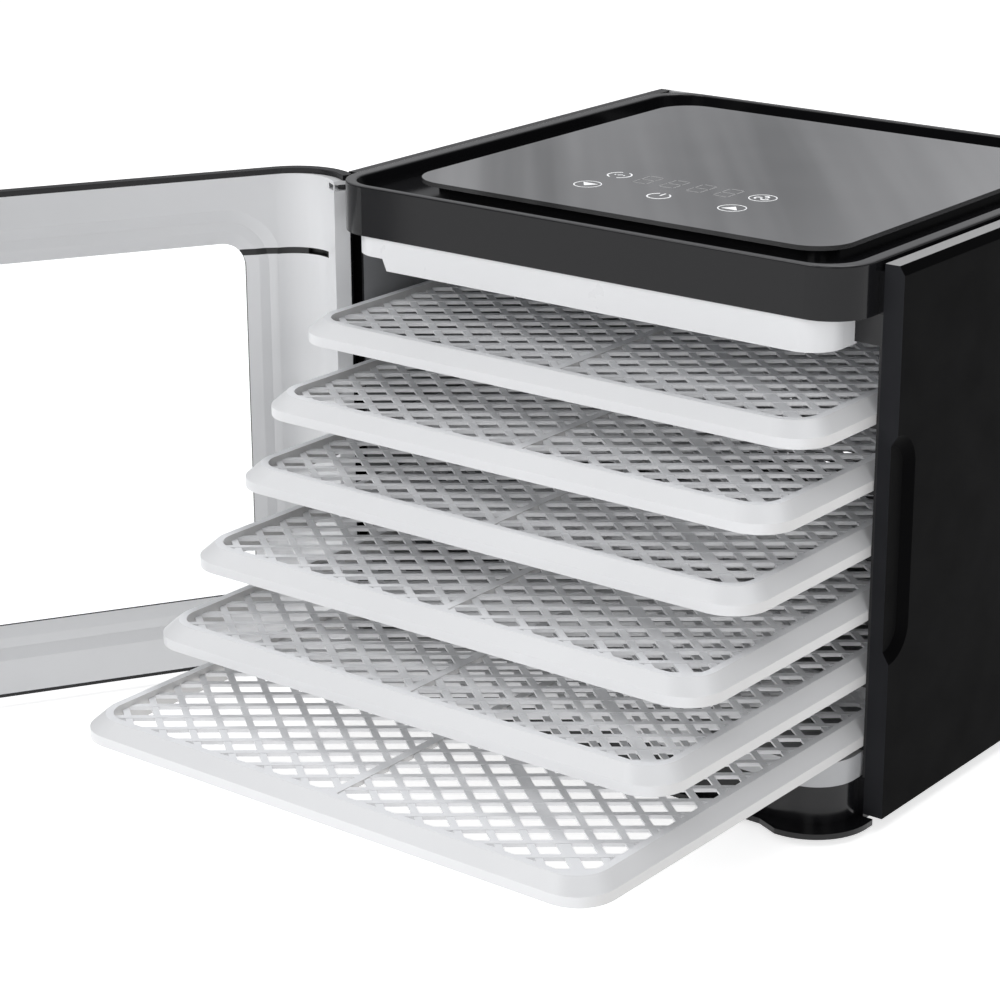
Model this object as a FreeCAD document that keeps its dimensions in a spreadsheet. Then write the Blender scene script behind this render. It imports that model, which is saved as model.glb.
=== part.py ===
import FreeCAD, Part
import math
import os

import Sketcher

# Food dehydrator: a cabinet with six slide-out mesh trays, a wrap-round side-hinged door,
# a touch-glass control top, and a rear fan with its ring heater.
# Frame: +Z up, -Y out of the front, origin at the centre of the base's underside.

doc = FreeCAD.newDocument("food_dehydrator")
sheet = doc.addObject("Spreadsheet::Sheet", "Dims")

DIMENSIONS = {
    # side panels
    "body_half": 176.5,
    "body_front": -149.0,
    "body_back": 149.0,
    "panel_thick": 11.0,
    "panel_low": 3.5,
    "panel_top": 292.5,
    "chamfer_wide": 3.0,
    "chamfer_tall": 4.5,
    # finger scoop in the right-hand panel
    "scoop_low": 88.0,
    "scoop_top": 208.0,
    "scoop_back": -131.0,
    "scoop_round": 18.0,
    "scoop_deep": 3.7,
    "scoop_bevel": 6.0,
    # header
    "header_half": 163.0,
    "header_front": -179.0,
    "header_back": 142.0,
    "header_low": 267.2,
    "header_top": 294.5,
    "header_round_front": 24.0,
    "header_round_back": 26.0,
    "rim_front": 4.0,
    "rim_side": 7.0,
    "well_floor": 285.5,
    "header_wall": 2.5,
    "header_skirt": 288.5,
    "rim_soften": 1.2,
    # control glass and display board
    "glass_half": 134.0,
    "glass_front": -148.0,
    "glass_back": 112.0,
    "glass_round": 22.0,
    "glass_top": 294.0,
    "glass_thick": 2.4,
    "plinth_inset": 8.5,
    "plinth_round": 15.0,
    "board_thick": 1.6,
    "board_half": 75.0,
    "board_front": -130.0,
    "board_back": -60.0,
    # base pan, its toe flange and the rubber feet
    "base_half": 162.5,
    "base_front": -178.0,
    "base_back": 146.0,
    "base_round": 24.0,
    "base_round_back": 6.0,
    "base_top": 23.5,
    "base_wall": 2.5,
    "toe_half": 172.5,
    "toe_front": -190.0,
    "toe_back": -150.5,
    "toe_step": -184.8,
    "toe_inner": 126.0,
    "toe_outer": 140.5,
    "toe_thick": 3.0,
    "toe_round": 33.0,
    "toe_cove": 4.0,
    "foot_radius": 9.0,
    "foot_tall": 3.5,
    "foot_along": 128.0,
    "label_half_wide": 45.0,
    "label_half_deep": 30.0,
    "label_groove": 1.5,
    "label_groove_deep": 0.6,
    # liner
    "wall_thick": 1.4,
    "wall_back": 117.0,
    "rail_reach": 8.0,
    "rail_thick": 3.0,
    "rail_gap": 0.4,
    "rail_front": -146.0,
    "floor_front": -178.0,
    "floor_top": 36.8,
    "floor_thick": 2.5,
    "band_front": -178.0,
    "band_half": 150.0,
    "band_low": 250.0,
    "band_relief": 256.4,
    "band_relief_high": 125.7,
    "band_relief_low": 122.9,
    "band_round": 18.0,
    "band_thick": 3.0,
    "ceiling_thick": 3.0,
    "baffle_thick": 3.0,
    "flange_low": 251.4,
    # trays
    "tray_half": 163.6,
    "tray_deep": 288.0,
    "tray_home": -175.6,
    "tray_first": 40.5,
    "tray_pitch": 34.2,
    "tray_tall": 12.2,
    "tray_lip": 5.4,
    "tray_slope": 6.6,
    "tray_rim": 4.2,
    "tray_round": 21.0,
    "rim_round": 18.5,
    "rim_round_inner": 14.0,
    "tray_skin": 2.2,
    "mesh_top": 9.2,
    "mesh_low": 7.2,
    "mesh_step": 0.35,
    "mesh_pitch_wide": 24.0,
    "mesh_pitch_deep": 18.85,
    "mesh_start": 20.7,
    "rib_wide": 3.6,
    "runner_wide": 6.4,
    "spine_wide": 5.0,
    # how far each tray stands out at rest, top tray first
    "pull_top": 33.7,
    "pull_second": 64.7,
    "pull_third": 86.7,
    "pull_fourth": 123.4,
    "pull_fifth": 153.0,
    "pull_bottom": 208.5,
    # door, in its closed place
    "door_low": 3.5,
    "door_top": 292.5,
    "door_front": -186.0,
    "door_inside": -180.2,
    "door_end": -150.0,
    "door_round": 34.0,
    "door_skin": 2.0,
    "door_lip_deep": 5.8,
    "door_inner_half": 165.5,
    "door_inner_round": 24.0,
    "liner_low": 5.5,
    "liner_top": 289.5,
    "door_relief": 2.4,
    "window_half": 124.2,
    "window_low": 45.0,
    "window_top": 252.0,
    "window_round": 14.0,
    "frame_slope": 7.3,
    "frame_flat": 12.8,
    "frame_bevel": 19.6,
    "frame_step": 2.2,
    "pane_thick": 1.2,
    "pane_lap": 4.0,
    "vent_low": 244.4,
    "vent_tall": 3.5,
    "vent_deep": 3.2,
    "magnet_low": 140.0,
    "magnet_tall": 16.0,
    "magnet_near": 167.5,
    "magnet_far": 172.0,
    "magnet_deep": 4.0,
    "catch_deep": 1.5,
    # door hinge
    "hinge_across": -172.5,
    "hinge_along": -154.8,
    "hinge_open": 121.1,
    "pin_radius": 1.6,
    "pin_gap": 0.05,
    "arm_thick": 2.5,
    "arm_gap": 0.4,
    "arm_radius": 3.2,
    "arm_swing": 8.0,
    "upper_arm_low": 284.5,
    "lower_arm_low": 9.0,
    "pin_bury": 4.0,
    # rear of the cabinet
    "louvre_tall": 3.0,
    "louvre_pitch": 9.0,
    "louvre_wide": 52.0,
    "louvre_column": 60.0,
    "fan_high": 145.5,
    "fan_front": 122.5,
    "fan_back": 135.5,
    "fan_radius": 82.0,
    "hub_radius": 16.0,
    "blade_thick": 1.6,
    "grille_radius": 92.0,
    "grille_bar": 3.5,
    "grille_pitch": 9.0,
    "grille_spine": 4.0,
    "motor_radius": 22.0,
    "motor_front": 138.5,
    "motor_back": 144.0,
    "bracket_reach": 60.0,
    "bracket_wide": 24.0,
    "shaft_radius": 3.0,
    "shaft_end": 140.5,
    "shaft_gap": 0.05,
    "heater_radius": 98.0,
    "heater_wire": 1.8,
    "heater_along": 131.0,
    "heater_ring_inner": 94.0,
    "heater_ring_outer": 103.0,
    "heater_ring_thick": 2.0,
    "heater_post": 9.0,
    # thermal cut-out beside the heater, and the power board in the base
    "cutout_near": 118.0,
    "cutout_far": 134.0,
    "cutout_deep": 8.0,
    "cutout_low": 60.0,
    "cutout_high": 72.0,
    "power_half": 60.0,
    "power_front": 10.0,
    "power_back": 90.0,
    "solder_bury": 0.5,
    "choke_near": -50.0,
    "choke_far": -30.0,
    "choke_front": 20.0,
    "choke_back": 40.0,
    "choke_tall": 14.0,
    "relay_near": -10.0,
    "relay_far": 14.0,
    "relay_front": 50.0,
    "relay_back": 66.0,
    "relay_tall": 10.0,
    "capacitor_near": 30.0,
    "capacitor_far": 44.0,
    "capacitor_front": 24.0,
    "capacitor_back": 38.0,
    "capacitor_tall": 16.0,
    # mains inlet and rear screws
    "inlet_near": 101.0,
    "inlet_far": 127.0,
    "inlet_low": 6.0,
    "inlet_high": 20.0,
    "inlet_front": 134.0,
    "inlet_back": 149.6,
    "socket_wall": 3.0,
    "socket_deep": 11.0,
    "screw_radius": 3.4,
    "screw_tall": 1.6,
    "screw_slot_reach": 2.4,
    "screw_slot_half": 0.5,
    "screw_across": 158.0,
    "screw_low": 34.0,
    "screw_high": 280.0,
}


class Size:
    """A length that carries its number and the sheet expression that drives it."""

    def __init__(self, value, text):
        self.value = value
        self.text = text

    def __add__(self, other):
        other = as_size(other)
        return Size(self.value + other.value, f"({self.text} + {other.text})")

    def __radd__(self, other):
        return as_size(other) + self

    def __sub__(self, other):
        other = as_size(other)
        return Size(self.value - other.value, f"({self.text} - {other.text})")

    def __rsub__(self, other):
        return as_size(other) - self

    def __mul__(self, factor):
        factor = as_size(factor)
        return Size(self.value * factor.value, f"({self.text} * {factor.text})")

    def __rmul__(self, factor):
        return self * factor

    def __truediv__(self, factor):
        return Size(self.value / factor, f"({self.text} / {factor})")

    def __neg__(self):
        return Size(-self.value, f"(0 - {self.text})")


def as_size(number):
    """A plain number as a Size, so that both mix in one sum."""
    if isinstance(number, Size):
        return number
    return Size(float(number), f"({float(number)})")


class Dims:
    """The sheet's aliases as attributes."""


dims = Dims()
for row, (alias, number) in enumerate(DIMENSIONS.items(), start=1):
    sheet.set(f"A{row}", alias)
    sheet.set(f"B{row}", str(number))
    sheet.setAlias(f"B{row}", alias)
    setattr(dims, alias, Size(number, f"Dims.{alias}"))
doc.recompute()

nodes = []


def keep(obj, label):
    """Mark a finished object as one sub-part of the dehydrator."""
    obj.Label = label
    nodes.append(obj)
    return obj


def bind(obj, name, size):
    """Drive one property from the sheet."""
    obj.setExpression(name, as_size(size).text)


def place(obj, across=0, along=0, up=0):
    """Drive an object's position from the sheet."""
    bind(obj, "Placement.Base.x", across)
    bind(obj, "Placement.Base.y", along)
    bind(obj, "Placement.Base.z", up)


# ---- primitives ----

def box(name, across, along, up):
    """A block between three (low, high) pairs."""
    block = doc.addObject("Part::Box", name)
    bind(block, "Length", as_size(across[1]) - across[0])
    bind(block, "Width", as_size(along[1]) - along[0])
    bind(block, "Height", as_size(up[1]) - up[0])
    place(block, across[0], along[0], up[0])
    return block


def rod(name, radius, length, across, along, up, turn=None):
    """A cylinder from a point, along +Z or along the turned axis."""
    cylinder = doc.addObject("Part::Cylinder", name)
    bind(cylinder, "Radius", radius)
    bind(cylinder, "Height", length)
    if turn is not None:
        cylinder.Placement.Rotation = turn
    place(cylinder, across, along, up)
    return cylinder


BACKWARDS = FreeCAD.Rotation(FreeCAD.Vector(1, 0, 0), -90)


def fuse(name, pieces):
    joined = doc.addObject("Part::MultiFuse", name)
    joined.Shapes = pieces
    return joined


def cut(name, base, tools):
    """The base less one tool or several."""
    result = doc.addObject("Part::Cut", name)
    result.Base = base
    result.Tool = tools[0] if len(tools) == 1 else fuse(name + "_tools", tools)
    return result


# ---- sketched pieces ----

def pin_point(sketch, geometry, end, across, along):
    """Hold one end of a sketch element at a driven place."""
    for kind, size in (("DistanceX", across), ("DistanceY", along)):
        if size is not None:
            size = as_size(size)
            index = sketch.addConstraint(Sketcher.Constraint(kind, -1, 1, geometry, end, size.value))
            sketch.setExpression(f"Constraints[{index}]", size.text)


def set_radius(sketch, geometry, radius):
    radius = as_size(radius)
    index = sketch.addConstraint(Sketcher.Constraint("Radius", geometry, radius.value))
    sketch.setExpression(f"Constraints[{index}]", radius.text)


def rounded(low, high, near, far, radius, far_radius=None):
    """A rectangle low..high by near..far with arcs at its corners."""
    low, high, near, far = (as_size(edge) for edge in (low, high, near, far))
    radius = as_size(radius)
    far_radius = radius if far_radius is None else as_size(far_radius)

    def draw(sketch):
        corners = [
            (low + radius, near + radius, radius, 180),
            (high - radius, near + radius, radius, 270),
            (high - far_radius, far - far_radius, far_radius, 0),
            (low + far_radius, far - far_radius, far_radius, 90),
        ]
        arcs = []
        for across, along, bend, start in corners:
            centre = FreeCAD.Vector(across.value, along.value, 0)
            circle = Part.Circle(centre, FreeCAD.Vector(0, 0, 1), bend.value)
            arc = Part.ArcOfCircle(circle, math.radians(start), math.radians(start + 90))
            arcs.append(sketch.addGeometry(arc))
        lines = []
        for index in range(4):
            begin = sketch.getPoint(arcs[index], 2)
            finish = sketch.getPoint(arcs[(index + 1) % 4], 1)
            lines.append(sketch.addGeometry(Part.LineSegment(begin, finish)))
        for index, line in enumerate(lines):
            following = arcs[(index + 1) % 4]
            sketch.addConstraint(Sketcher.Constraint("Tangent", arcs[index], 2, line, 1))
            sketch.addConstraint(Sketcher.Constraint("Tangent", line, 2, following, 1))
            level = "Horizontal" if index % 2 == 0 else "Vertical"
            sketch.addConstraint(Sketcher.Constraint(level, line))
        for arc, corner in zip(arcs, corners):
            set_radius(sketch, arc, corner[2])
        pin_point(sketch, lines[0], 1, None, near)
        pin_point(sketch, lines[1], 1, high, None)
        pin_point(sketch, lines[2], 1, None, far)
        pin_point(sketch, lines[3], 1, low, None)

    return draw


def polygon(points):
    """A closed outline of straight edges through driven points."""
    points = [(as_size(across), as_size(along)) for across, along in points]

    def draw(sketch):
        places = [FreeCAD.Vector(across.value, along.value, 0) for across, along in points]
        following = places[1:] + places[:1]
        lines = [sketch.addGeometry(Part.LineSegment(a, b)) for a, b in zip(places, following)]
        for index, line in enumerate(lines):
            after = lines[(index + 1) % len(lines)]
            sketch.addConstraint(Sketcher.Constraint("Coincident", line, 2, after, 1))
        for line, (across, along) in zip(lines, points):
            pin_point(sketch, line, 1, across, along)

    return draw


def rectangle(low, high, near, far):
    return polygon([(low, near), (high, near), (high, far), (low, far)])


def circle(across, along, radius):
    def draw(sketch):
        centre = FreeCAD.Vector(as_size(across).value, as_size(along).value, 0)
        ring = Part.Circle(centre, FreeCAD.Vector(0, 0, 1), as_size(radius).value)
        geometry = sketch.addGeometry(ring)
        pin_point(sketch, geometry, 3, across, along)
        set_radius(sketch, geometry, radius)

    return draw


class Piece:
    """A PartDesign body built from pads and pockets between two levels.

    Levels run along +Z on the XY plane, along +X on the YZ plane and along -Y on the XZ plane.
    """

    def __init__(self, name):
        self.body = doc.addObject("PartDesign::Body", name)
        self.count = 0

    def name(self, kind):
        self.count += 1
        return f"{self.body.Name}_{kind}{self.count}"

    def sketch(self, plane, level, outlines):
        drawing = self.body.newObject("Sketcher::SketchObject", self.name("sketch"))
        features = self.body.Origin.OriginFeatures
        support = [feature for feature in features if feature.Role == plane + "_Plane"][0]
        drawing.AttachmentSupport = [(support, "")]
        drawing.MapMode = "FlatFace"
        bind(drawing, ".AttachmentOffset.Base.z", level)
        for outline in outlines:
            outline(drawing)
        return drawing

    def add(self, plane, low, high, *outlines):
        """Pad outlines from one level up to another; an outline inside another is a hole."""
        pad = self.body.newObject("PartDesign::Pad", self.name("pad"))
        pad.Profile = self.sketch(plane, low, outlines)
        bind(pad, "Length", as_size(high) - low)
        self.body.Tip = pad
        return self

    def take(self, plane, low, high, *outlines):
        """Pocket outlines between two levels."""
        pocket = self.body.newObject("PartDesign::Pocket", self.name("pocket"))
        pocket.Profile = self.sketch(plane, high, outlines)
        bind(pocket, "Length", as_size(high) - low)
        self.body.Tip = pocket
        return self

    def loft_out(self, plane, start, start_outline, finish, finish_outline):
        """Take away the space that tapers from one outline to another."""
        loft = self.body.newObject("PartDesign::SubtractiveLoft", self.name("loft"))
        loft.Profile = self.sketch(plane, start, [start_outline])
        loft.Sections = [self.sketch(plane, finish, [finish_outline])]
        loft.Ruled = True
        self.body.Tip = loft
        return self

    def loft_on(self, plane, start, start_outline, finish, finish_outline):
        """Add the solid that tapers from one outline to another."""
        loft = self.body.newObject("PartDesign::AdditiveLoft", self.name("loft"))
        loft.Profile = self.sketch(plane, start, [start_outline])
        loft.Sections = [self.sketch(plane, finish, [finish_outline])]
        loft.Ruled = True
        self.body.Tip = loft
        return self

    def fixed_sketch(self, plane, level, outlines):
        """A sketch of many straight-edged outlines through points worked out beforehand."""
        drawing = self.sketch(plane, level, [])
        lines = []
        for outline in outlines:
            corners = [FreeCAD.Vector(across, along, 0) for across, along in outline]
            following = corners[1:] + corners[:1]
            lines += [Part.LineSegment(a, b) for a, b in zip(corners, following)]
        drawing.addGeometry(lines, False)
        return drawing

    def strips(self, low, high, outlines):
        """Pad many strips at once."""
        pad = self.body.newObject("PartDesign::Pad", self.name("strips"))
        pad.Profile = self.fixed_sketch("XY", low, outlines)
        pad.Refine = False
        bind(pad, "Length", as_size(high) - low)
        self.body.Tip = pad
        return self

    def slots(self, plane, low, high, outlines):
        """Pocket many slots at once."""
        pocket = self.body.newObject("PartDesign::Pocket", self.name("slots"))
        pocket.Profile = self.fixed_sketch(plane, high, outlines)
        bind(pocket, "Length", as_size(high) - low)
        self.body.Tip = pocket
        return self

    def dress(self, kind, sizes, wanted):
        """Fillet or chamfer every edge that the test accepts."""
        doc.recompute()
        before = self.body.Tip
        edges = before.Shape.Edges
        names = [f"Edge{index + 1}" for index, edge in enumerate(edges) if wanted(edge)]
        feature = self.body.newObject("PartDesign::" + kind, self.name(kind.lower()))
        feature.Base = (before, names)
        for name, size in sizes.items():
            bind(feature, name, size)
        self.body.Tip = feature
        return self

    def keep(self, label):
        return keep(self.body, label)


def level_edge(height, reach=None):
    """A test for edges that lie at one height, and within a reach of the middle if given."""
    def wanted(edge):
        bounds = edge.BoundBox
        level = abs(bounds.ZMin - height.value) < 1e-4 and abs(bounds.ZMax - height.value) < 1e-4
        inside = reach is None or max(abs(bounds.XMin), abs(bounds.XMax)) < reach.value
        return level and inside

    return wanted


def corners(low, high, near, far):
    """The four corner points of a slot."""
    return [(low, near), (high, near), (high, far), (low, far)]


def both_sides(inner, outer):
    """The (low, high) pairs of a band on the left and on the right, with their names."""
    return (("left", -as_size(outer), -as_size(inner)), ("right", inner, outer))


inner_half = dims.body_half - dims.panel_thick
wall_inner = inner_half - dims.wall_thick


# ---- base and feet ----

def make_base():
    half = dims.base_half
    wall = dims.base_wall
    base = Piece("BasePan")
    base.add("XY", 0, dims.base_top,
             rounded(-half, half, dims.base_front, dims.base_back,
                     dims.base_round, dims.base_round_back))
    base.add("XY", 0, dims.base_top,
             rectangle(-inner_half, inner_half, dims.body_front,
                       dims.base_back - dims.base_round_back))
    # flange along the front, stepping out into a toe at either corner
    base.add("XY", 0, dims.toe_thick,
             rounded(-dims.toe_half, dims.toe_half, dims.toe_front, dims.toe_back,
                     dims.toe_round, 1))
    beyond = dims.toe_front - 1
    base.take("XY", 0, dims.toe_thick,
              polygon([(-dims.toe_outer, beyond), (dims.toe_outer, beyond),
                       (dims.toe_inner, dims.toe_step), (-dims.toe_inner, dims.toe_step)]))
    base.take("XY", wall, dims.base_top,
              rounded(wall - half, half - wall, dims.base_front + wall, dims.base_back - wall,
                      dims.base_round - wall, dims.base_round_back - wall))
    base.take("XZ", -(dims.base_back + 1), 1 - dims.base_back + wall,
              rectangle(dims.inlet_near, dims.inlet_far, dims.inlet_low, dims.inlet_high))
    # a shallow groove frames the flat place for the rating label
    wide = dims.label_half_wide
    deep = dims.label_half_deep
    groove = dims.label_groove
    base.take("XY", 0, dims.label_groove_deep,
              rectangle(-wide - groove, wide + groove, -deep - groove, deep + groove),
              rectangle(-wide, wide, -deep, deep))
    base.keep("base_pan")


def make_feet():
    for side, across in (("left", -dims.foot_along), ("right", dims.foot_along)):
        for end, along in (("front", -dims.foot_along), ("rear", dims.foot_along)):
            foot = rod(f"Foot_{side}_{end}", dims.foot_radius, dims.foot_tall,
                       across, along, -dims.foot_tall)
            keep(foot, f"foot_{end}_{side}")


# ---- side panels ----

def panel(name, side):
    """A side panel with its top outer edge chamfered; side is -1 on the left, 1 on the right."""
    outer = dims.body_half * side
    inner = inner_half * side
    flat = (dims.body_half - dims.chamfer_wide) * side
    piece = Piece(name)
    piece.add("XZ", -dims.body_back, -dims.body_front,
              polygon([(inner, dims.panel_low), (outer, dims.panel_low),
                       (outer, dims.panel_top - dims.chamfer_tall),
                       (flat, dims.panel_top), (inner, dims.panel_top)]))
    return piece


def make_panels():
    panel("LeftPanel", -1).keep("left_side_panel")
    right = panel("RightPanel", 1)
    ahead = dims.body_front - 40
    bevel = dims.scoop_bevel
    right.loft_out(
        "YZ", dims.body_half,
        rounded(ahead, dims.scoop_back, dims.scoop_low, dims.scoop_top, dims.scoop_round),
        dims.body_half - dims.scoop_deep,
        rounded(ahead + bevel, dims.scoop_back - bevel, dims.scoop_low + bevel,
                dims.scoop_top - bevel, dims.scoop_round - bevel))
    catch_top = dims.magnet_low + dims.magnet_tall
    right.take("XZ", -(dims.body_front + dims.catch_deep), -dims.body_front,
               rectangle(dims.magnet_near, dims.magnet_far, dims.magnet_low, catch_top))
    right.keep("right_side_panel")
    catch = box("CatchPlate", (dims.magnet_near, dims.magnet_far),
                (dims.body_front, dims.body_front + dims.catch_deep),
                (dims.magnet_low, catch_top))
    keep(catch, "door_catch_plate")


# ---- header, glass and display board ----

def make_header():
    half = dims.header_half
    wall = dims.header_wall
    header = Piece("Header")
    header.add("XY", dims.header_low, dims.header_top,
               rounded(-half, half, dims.header_front, dims.header_back,
                       dims.header_round_front, dims.header_round_back))
    # low skirts close the gaps to the side panels and to the rear cover
    header.add("XY", dims.header_low, dims.header_skirt,
               rectangle(-inner_half, inner_half, dims.body_front, dims.base_back))
    side = half - dims.rim_side
    header.take("XY", dims.well_floor, dims.header_top,
                rounded(-side, side, dims.header_front + dims.rim_front,
                        dims.header_back - dims.rim_front,
                        dims.header_round_front - dims.rim_front,
                        dims.header_round_back - dims.rim_front))
    inset = dims.plinth_inset
    plinth = dims.glass_half - inset
    header.add("XY", dims.well_floor - 1, dims.glass_top - dims.glass_thick,
               rounded(-plinth, plinth, dims.glass_front + inset, dims.glass_back - inset,
                       dims.plinth_round))
    header.take("XY", dims.header_low, dims.well_floor - wall,
                rounded(wall - half, half - wall, dims.header_front + wall,
                        dims.header_back - wall, dims.header_round_front - wall,
                        dims.header_round_back - wall))
    header.dress("Fillet", {"Radius": dims.rim_soften}, level_edge(dims.header_top))
    header.keep("header_shell")


def make_controls():
    glass = Piece("TouchGlass")
    glass.add("XY", dims.glass_top - dims.glass_thick, dims.glass_top,
              rounded(-dims.glass_half, dims.glass_half, dims.glass_front, dims.glass_back,
                      dims.glass_round))
    glass.keep("touch_glass")
    board_top = dims.well_floor - dims.header_wall
    board = box("DisplayBoard", (-dims.board_half, dims.board_half),
                (dims.board_front, dims.board_back), (board_top - dims.board_thick, board_top))
    keep(board, "display_board")


# ---- liner ----

def make_liner_walls():
    for side, low, high in both_sides(wall_inner, inner_half):
        wall = Piece(f"LinerWall_{side}")
        wall.add("XY", dims.base_top, dims.header_low,
                 rectangle(low, high, dims.body_front, dims.wall_back))
        sign = -1 if side == "left" else 1
        tips = [wall_inner * sign, (wall_inner - dims.rail_reach) * sign]
        tips.sort(key=lambda tip: tip.value)
        for count in range(6):
            top = dims.tray_first + dims.tray_pitch * count - dims.rail_gap
            wall.add("XY", top - dims.rail_thick, top,
                     rectangle(tips[0], tips[1], dims.rail_front, dims.wall_back))
        edges = [wall_inner * sign, dims.band_half * sign]
        edges.sort(key=lambda edge: edge.value)
        wall.add("XY", dims.flange_low, dims.header_low,
                 rectangle(edges[0], edges[1], dims.body_front,
                           dims.body_front + dims.band_thick))
        wall.keep(f"liner_{side}_wall")


def make_liner_band():
    """The rounded band under the header, with the ceiling behind it."""
    half = dims.band_half
    thick = dims.band_thick
    front = dims.band_front
    join = dims.body_front + thick
    ceiling_low = dims.header_low - dims.ceiling_thick
    band = Piece("LinerBand")
    band.add("XY", dims.band_low, dims.header_low,
             rounded(-half, half, front, join, dims.band_round, 1))
    band.take("XY", dims.band_low, ceiling_low,
              rounded(thick - half, half - thick, front + thick, join + 5,
                      dims.band_round - thick, 1))
    band.add("XY", ceiling_low, dims.header_low,
             rectangle(-wall_inner, wall_inner, join, dims.wall_back))
    # relief at the hinge end, with a slanted edge
    far = half + 5
    under = dims.band_low - 5
    band.take("XZ", -join, 5 - front,
              polygon([(-far, under), (-dims.band_relief_low, under),
                       (-dims.band_relief_low, dims.band_low),
                       (-dims.band_relief_high, dims.band_relief), (-far, dims.band_relief)]))
    band.keep("liner_top_band")


def make_liner_floor():
    half = dims.base_half
    thick = dims.floor_thick
    floor = Piece("LinerFloor")
    floor.add("XY", dims.base_top, dims.floor_top,
              rounded(-half, half, dims.floor_front, dims.wall_back, dims.base_round, 1))
    floor.take("XY", dims.base_top + thick, dims.floor_top,
               rounded(thick - half, half - thick, dims.floor_front + thick,
                       dims.wall_back + 9, dims.base_round - thick, 1))
    floor.keep("liner_floor")


def make_baffle():
    """The wall between the trays and the fan, with a barred round grille."""
    back = dims.wall_back + dims.baffle_thick
    baffle = Piece("Baffle")
    baffle.add("XZ", -back, -dims.wall_back,
               rectangle(-inner_half, inner_half, dims.base_top, dims.header_low))
    radius = dims.grille_radius.value
    pitch = dims.grille_pitch.value
    half_gap = (pitch - dims.grille_bar.value) / 2
    spine = dims.grille_spine.value
    count = int(radius // pitch)
    slots = []
    for step in range(-count, count + 1):
        offset = abs(step * pitch) + half_gap
        if offset >= radius - pitch:
            continue
        reach = math.sqrt(radius ** 2 - offset ** 2)
        middle = dims.fan_high.value + step * pitch
        slots.append(corners(-reach, -spine, middle - half_gap, middle + half_gap))
        slots.append(corners(spine, reach, middle - half_gap, middle + half_gap))
    baffle.slots("XZ", -back, -dims.wall_back, slots)
    baffle.keep("rear_air_baffle")


# ---- trays ----

def trimmed(points, limits):
    """Cut a convex outline back to the near side of every straight limit."""
    for across, along, reach in limits:
        kept = []
        for index, point in enumerate(points):
            previous = points[index - 1]
            depth = reach - across * point[0] - along * point[1]
            before = reach - across * previous[0] - along * previous[1]
            if (depth >= 0) != (before >= 0):
                share = before / (before - depth)
                kept.append(tuple(a + share * (b - a) for a, b in zip(previous, point)))
            if depth >= 0:
                kept.append(point)
        points = kept
        if len(points) < 3:
            return []
    return points


def area(points):
    pairs = zip(points, points[1:] + points[:1])
    return abs(sum(a[0] * b[1] - b[0] * a[1] for a, b in pairs)) / 2


def mesh_limits():
    """Straight limits round the space inside a tray's rim, lapping one millimetre into it."""
    lap = 1.0
    inset = dims.tray_slope.value + dims.tray_rim.value - lap
    half = dims.tray_half.value - inset
    far = dims.tray_deep.value - inset
    bend = dims.rim_round_inner.value
    limits = [(1, 0, half), (-1, 0, half), (0, 1, far), (0, -1, -inset)]
    for side in (-1, 1):
        for end, edge in ((-1, inset), (1, far)):
            centre = (side * (half - bend), edge - end * bend)
            for degrees in (15, 30, 45, 60, 75):
                across = side * math.cos(math.radians(degrees))
                along = end * math.sin(math.radians(degrees))
                reach = across * centre[0] + along * centre[1] + bend
                limits.append((across, along, reach))
    return limits


def mesh_ribs(lean):
    """The slanting ribs of one direction; one rib of the second direction is a wide runner."""
    wide = dims.mesh_pitch_wide.value
    deep = dims.mesh_pitch_deep.value
    slant = math.hypot(wide, deep)
    heading = (wide / slant, lean * deep / slant)
    normal = (-heading[1], heading[0])
    runner = 6
    reach = 500
    limits = mesh_limits()
    found = []
    for count in range(-12, 30):
        middle = dims.mesh_start.value + count * deep
        is_runner = lean == -1 and count == runner
        half = (dims.runner_wide if is_runner else dims.rib_wide).value / 2
        corners = []
        for end, edge in ((-1, -1), (1, -1), (1, 1), (-1, 1)):
            across = end * reach * heading[0] + edge * half * normal[0]
            along = middle + end * reach * heading[1] + edge * half * normal[1]
            corners.append((across, along))
        rib = trimmed(corners, limits)
        if rib and area(rib) > 6:
            found.append(rib)
    return found


def make_tray(number, pull):
    """One tray, standing out of the cabinet by its pull."""
    half = dims.tray_half
    deep = dims.tray_deep
    slope = dims.tray_slope
    rim = slope + dims.tray_rim
    tray = Piece(f"Tray{number}")
    lip = rounded(-half, half, 0, deep, dims.tray_round)
    brow = rounded(slope - half, half - slope, slope, deep - slope, dims.rim_round)
    inner = rounded(rim - half, half - rim, rim, deep - rim, dims.rim_round_inner)
    tray.add("XY", 0, dims.tray_lip, lip)
    tray.loft_on("XY", dims.tray_lip, lip, dims.tray_tall, brow)
    tray.take("XY", 0, dims.tray_tall, inner)
    # groove that hollows the frame from below
    skin = dims.tray_skin
    edge = rim - skin
    tray.take("XY", 0, dims.tray_lip - skin / 2,
              rounded(skin - half, half - skin, skin, deep - skin, dims.tray_round - skin),
              rounded(edge - half, half - edge, edge, deep - edge, dims.rim_round_inner + skin))
    # crossing ribs, one direction a little shallower than the other, and the middle spine
    step = dims.mesh_step
    spine = dims.spine_wide.value / 2
    near = rim.value - 1
    far = deep.value - near
    tray.strips(dims.mesh_low, dims.mesh_top, mesh_ribs(1))
    tray.strips(dims.mesh_low + step, dims.mesh_top - step, mesh_ribs(-1))
    tray.strips(dims.mesh_low - step, dims.mesh_top + step,
                [[(-spine, near), (spine, near), (spine, far), (-spine, far)]])
    place(tray.body, 0, dims.tray_home - pull,
          dims.tray_first + dims.tray_pitch * (6 - number))
    tray.keep(f"tray_{number}")


def make_trays():
    pulls = (dims.pull_top, dims.pull_second, dims.pull_third,
             dims.pull_fourth, dims.pull_fifth, dims.pull_bottom)
    for number, pull in enumerate(pulls, start=1):
        make_tray(number, pull)


# ---- door ----

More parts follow.
